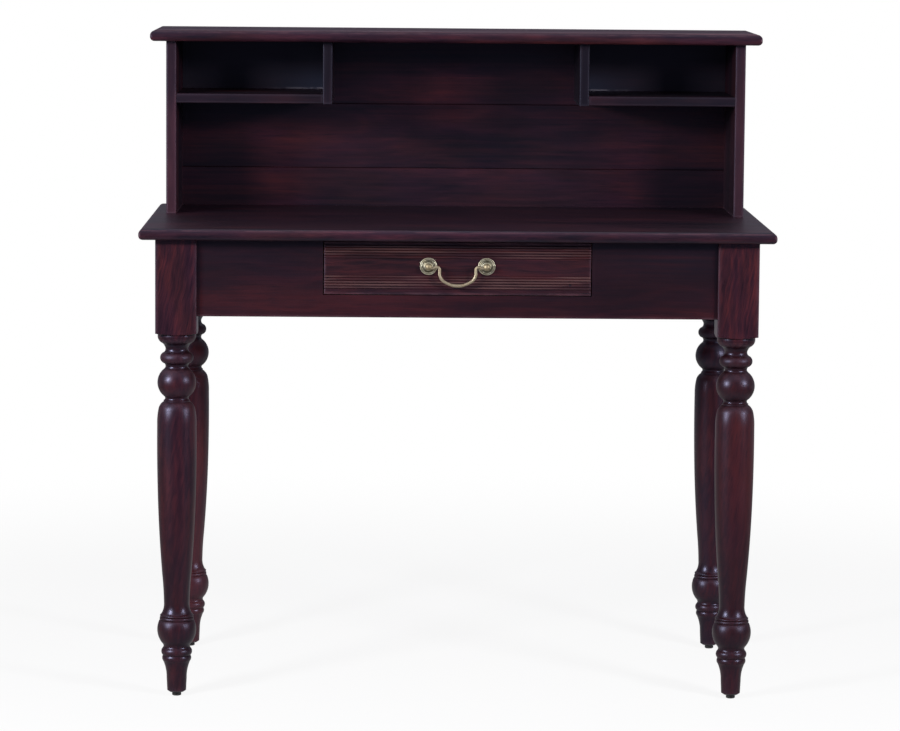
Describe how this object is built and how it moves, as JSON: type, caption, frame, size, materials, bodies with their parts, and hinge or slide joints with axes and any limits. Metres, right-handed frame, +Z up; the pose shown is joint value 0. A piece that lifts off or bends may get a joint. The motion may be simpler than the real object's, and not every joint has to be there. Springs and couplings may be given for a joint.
{
  "type": "study table",
  "caption": "Solid wood study table on turned legs with one reeded drawer and a low hutch: open bay, corner cubbies and a writing surface.",
  "frame": {"origin": "on the floor under the middle of the desk top's outline", "axes": "+Z up, -Y towards the person at the drawer, +X to that person's right"},
  "size_m": [1.016, 0.559, 1.067],
  "materials": {
    "top_wood": "dark mahogany stain under satin lacquer",
    "hutch_wood": "dark mahogany stain under satin lacquer",
    "apron_wood": "dark mahogany stain under satin lacquer",
    "leg_wood": "dark mahogany stain under satin lacquer, turned",
    "drawer_front_wood": "dark mahogany stain, rubbed back on the reeds",
    "inner_wood": "plain brown hardwood, unpolished",
    "dowel_wood": "plain pale hardwood",
    "antique_brass": "aged, lightly polished",
    "screw_steel": "zinc plated",
    "glide_plastic": "matt black"
  },
  "bodies": {
    "desk": {"corner_block_front_left": "inner_wood", "corner_block_front_right": "inner_wood", "corner_block_rear_left": "inner_wood", "corner_block_rear_right": "inner_wood", "cubby_divider_left": "hutch_wood", "cubby_divider_right": "hutch_wood", "cubby_shelf_left": "hutch_wood", "cubby_shelf_right": "hutch_wood", "desk_top": "top_wood", "desk_top_screws": "screw_steel", "drawer_guide_left": "inner_wood", "drawer_guide_right": "inner_wood", "drawer_kicker_left": "inner_wood", "drawer_kicker_right": "inner_wood", "drawer_runner_left": "inner_wood", "drawer_runner_right": "inner_wood", "drawer_stops": "inner_wood", "foot_glide_front_left": "glide_plastic", "foot_glide_front_right": "glide_plastic", "foot_glide_rear_left": "glide_plastic", "foot_glide_rear_right": "glide_plastic", "front_apron": "apron_wood", "hutch_back_lower": "hutch_wood", "hutch_back_middle": "hutch_wood", "hutch_back_upper": "hutch_wood", "hutch_dowels": "dowel_wood", "hutch_foot_screws": "screw_steel", "hutch_side_left": "hutch_wood", "hutch_side_right": "hutch_wood", "hutch_top": "hutch_wood", "kicker_screws": "screw_steel", "left_apron": "apron_wood", "leg_front_left": "leg_wood", "leg_front_right": "leg_wood", "leg_rear_left": "leg_wood", "leg_rear_right": "leg_wood", "rear_apron": "apron_wood", "right_apron": "apron_wood"},
    "drawer": {"drawer_back": "inner_wood", "drawer_bottom": "inner_wood", "drawer_bottom_pins": "screw_steel", "drawer_front": "drawer_front_wood", "drawer_side_left": "inner_wood", "drawer_side_right": "inner_wood", "pull_nuts": "antique_brass", "pull_post_left": "antique_brass", "pull_post_right": "antique_brass", "pull_rosette_left": "antique_brass", "pull_rosette_right": "antique_brass"},
    "bail": {"pull_bail": "antique_brass"}
  },
  "joints": [
    {"name": "drawer_slide", "type": "slide", "parent": "desk", "child": "drawer", "axis": [0, -1, 0], "range_m": [0, 0.3]},
    {"name": "bail_swing", "type": "hinge", "parent": "drawer", "child": "bail", "pos_m": [0, -0.2586, 0.7007], "axis": [-1, 0, 0], "range_deg": [-18, 198]}
  ]
}
